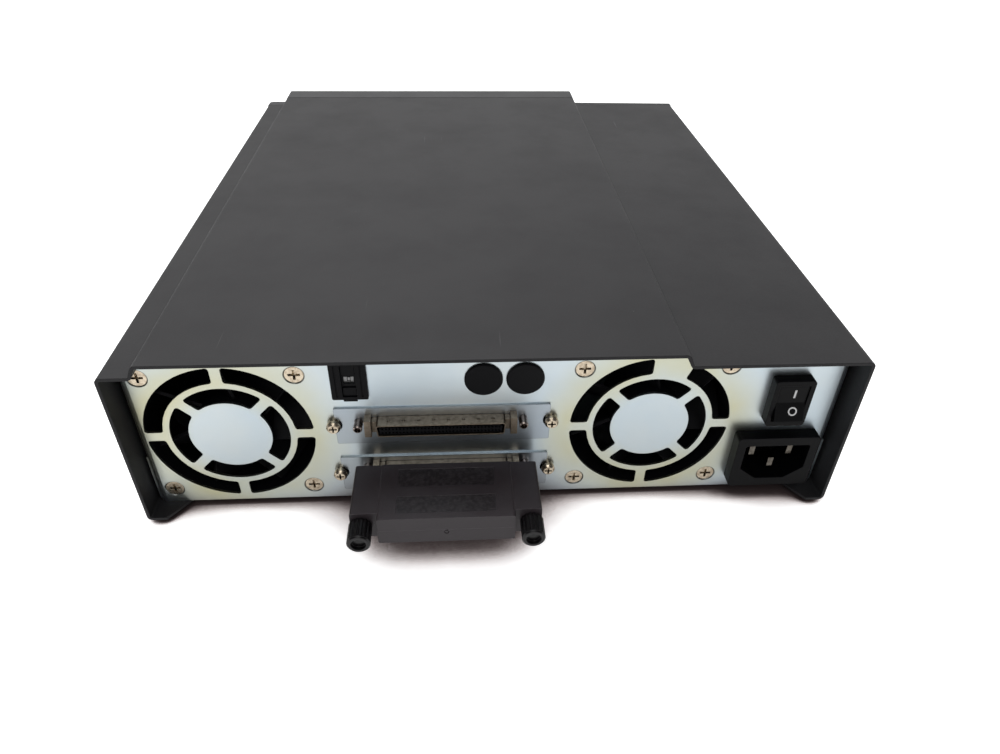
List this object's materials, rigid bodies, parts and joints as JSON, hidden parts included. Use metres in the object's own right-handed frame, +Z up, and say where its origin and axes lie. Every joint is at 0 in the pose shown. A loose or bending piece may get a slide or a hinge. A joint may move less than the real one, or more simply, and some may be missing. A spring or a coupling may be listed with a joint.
{
  "type": "external tape drive",
  "caption": "Desktop tape drive in a stepped black sheet-metal case, with fans, drive connectors, a plug-in terminator, mains inlet and rocker switch on its rear panel.",
  "frame": {"origin": "middle of the footprint, on the surface that the feet stand on", "axes": "+Z up, +Y out of the rear panel, +X to the right seen from the front"},
  "size_m": [0.2488, 0.3196, 0.07],
  "materials": {
    "cover_paint": "fine satin powder coat",
    "zinc_sheet": "zinc plated and clear passivated",
    "bezel_plastic": "fine grained",
    "foot_rubber": "matt",
    "nickel": "nickel plated",
    "black_plastic": "moulded",
    "terminator_plastic": "moulded, slight sheen",
    "switch_plastic": "satin",
    "pale_plastic": "moulded",
    "circuit_board": "solder mask",
    "transformer_tape": "polyester tape",
    "capacitor_sleeve": "shrink sleeve",
    "cast_alloy": "cast",
    "lamp_lens": "tinted lens"
  },
  "bodies": {
    "enclosure": {"top_cover": "cover_paint", "chassis_tray": "zinc_sheet", "front_bezel": "bezel_plastic", "rear_left_foot": "foot_rubber", "rear_right_foot": "foot_rubber", "front_left_foot": "foot_rubber", "front_right_foot": "foot_rubber", "cover_screws": "nickel", "left_fan_frame": "black_plastic", "right_fan_frame": "black_plastic", "fan_screws": "nickel", "upper_plate": "zinc_sheet", "lower_plate": "zinc_sheet", "plate_screws": "nickel", "upper_socket_shell": "nickel", "upper_socket_insert": "black_plastic", "lower_socket_shell": "nickel", "lower_socket_insert": "black_plastic", "jack_posts": "nickel", "id_switch_housing": "black_plastic", "left_hole_plug": "black_plastic", "right_hole_plug": "black_plastic", "power_switch_body": "switch_plastic", "inlet_body": "black_plastic", "inlet_pins": "nickel", "supply_board": "circuit_board", "supply_transformer": "transformer_tape", "supply_capacitors": "capacitor_sleeve", "supply_heatsink": "cast_alloy", "supply_standoffs": "nickel", "drive_chassis": "cast_alloy", "drive_lid": "zinc_sheet", "drive_fascia": "bezel_plastic", "activity_lights": "lamp_lens", "drive_board": "circuit_board", "left_bracket": "zinc_sheet", "right_bracket": "zinc_sheet", "chassis_screws": "nickel", "power_light": "lamp_lens"},
    "left_fan": {"left_fan_impeller": "black_plastic"},
    "right_fan": {"right_fan_impeller": "black_plastic"},
    "rocker": {"power_rocker": "switch_plastic"},
    "digit_wheel": {"id_wheel": "pale_plastic"},
    "up_button": {"id_button_up": "black_plastic"},
    "down_button": {"id_button_down": "black_plastic"},
    "terminator": {"terminator_top_shell": "terminator_plastic", "terminator_bottom_shell": "terminator_plastic", "terminator_plug_shell": "nickel", "terminator_pin_block": "black_plastic", "terminator_pins": "nickel", "terminator_board": "circuit_board"},
    "left_thumb": {"left_thumbscrew": "terminator_plastic"},
    "right_thumb": {"right_thumbscrew": "terminator_plastic"},
    "door": {"tape_door": "bezel_plastic"},
    "eject": {"eject_button": "pale_plastic"},
    "hub": {"supply_hub": "black_plastic"},
    "reel": {"take_up_reel": "black_plastic"},
    "head": {"head_carriage": "cast_alloy"},
    "carrier": {"cartridge_carrier": "zinc_sheet"}
  },
  "joints": [
    {"name": "left_fan_spin", "type": "hinge", "parent": "enclosure", "child": "left_fan", "pos_m": [0.0907, 0.11177, 0.0343], "axis": [0, 1, 0], "continuous": true},
    {"name": "right_fan_spin", "type": "hinge", "parent": "enclosure", "child": "right_fan", "pos_m": [-0.0552, 0.11177, 0.0343], "axis": [0, 1, 0], "continuous": true},
    {"name": "power_rocker_tilt", "type": "hinge", "parent": "enclosure", "child": "rocker", "pos_m": [-0.1024, 0.12427, 0.0454], "axis": [-1, 0, 0], "range_deg": [0, 20]},
    {"name": "digit_wheel_turn", "type": "hinge", "parent": "enclosure", "child": "digit_wheel", "pos_m": [0.0482, 0.11887, 0.0569], "axis": [1, 0, 0], "continuous": true},
    {"name": "up_button_press", "type": "slide", "parent": "enclosure", "child": "up_button", "axis": [0, -1, 0], "range_m": [0, 0.0007], "stiffness_N_per_m": 300, "springref_m": -0.0006},
    {"name": "down_button_press", "type": "slide", "parent": "enclosure", "child": "down_button", "axis": [0, -1, 0], "range_m": [0, 0.0007], "stiffness_N_per_m": 300, "springref_m": -0.0006},
    {"name": "terminator_unplug", "type": "slide", "parent": "enclosure", "child": "terminator", "axis": [0, 1, 0], "range_m": [0, 0.05]},
    {"name": "left_thumbscrew_turn", "type": "hinge", "parent": "terminator", "child": "left_thumb", "pos_m": [0.0453, 0.14103, 0.0185], "axis": [0, 1, 0], "continuous": true},
    {"name": "right_thumbscrew_turn", "type": "hinge", "parent": "terminator", "child": "right_thumb", "pos_m": [-0.0113, 0.14103, 0.0185], "axis": [0, 1, 0], "continuous": true},
    {"name": "tape_door_swing", "type": "hinge", "parent": "enclosure", "child": "door", "pos_m": [0.029, -0.15418, 0.0464], "axis": [1, 0, 0], "range_deg": [0, 85], "stiffness_Nm_per_rad": 0.002, "springref_deg": -17.19},
    {"name": "eject_press", "type": "slide", "parent": "enclosure", "child": "eject", "axis": [0, 1, 0], "range_m": [0, 0.0012], "stiffness_N_per_m": 300, "springref_m": -0.001},
    {"name": "supply_hub_spin", "type": "hinge", "parent": "enclosure", "child": "hub", "pos_m": [0.025, -0.09298, 0.019], "axis": [0, 0, 1], "continuous": true},
    {"name": "take_up_reel_spin", "type": "hinge", "parent": "enclosure", "child": "reel", "pos_m": [0.025, 0.00402, 0.025], "axis": [0, 0, 1], "continuous": true},
    {"name": "head_step", "type": "slide", "parent": "enclosure", "child": "head", "axis": [0, 0, 1], "range_m": [-0.0018, 0.006]},
    {"name": "carrier_lower", "type": "slide", "parent": "enclosure", "child": "carrier", "axis": [0, 0, -1], "range_m": [0, 0.003]}
  ]
}
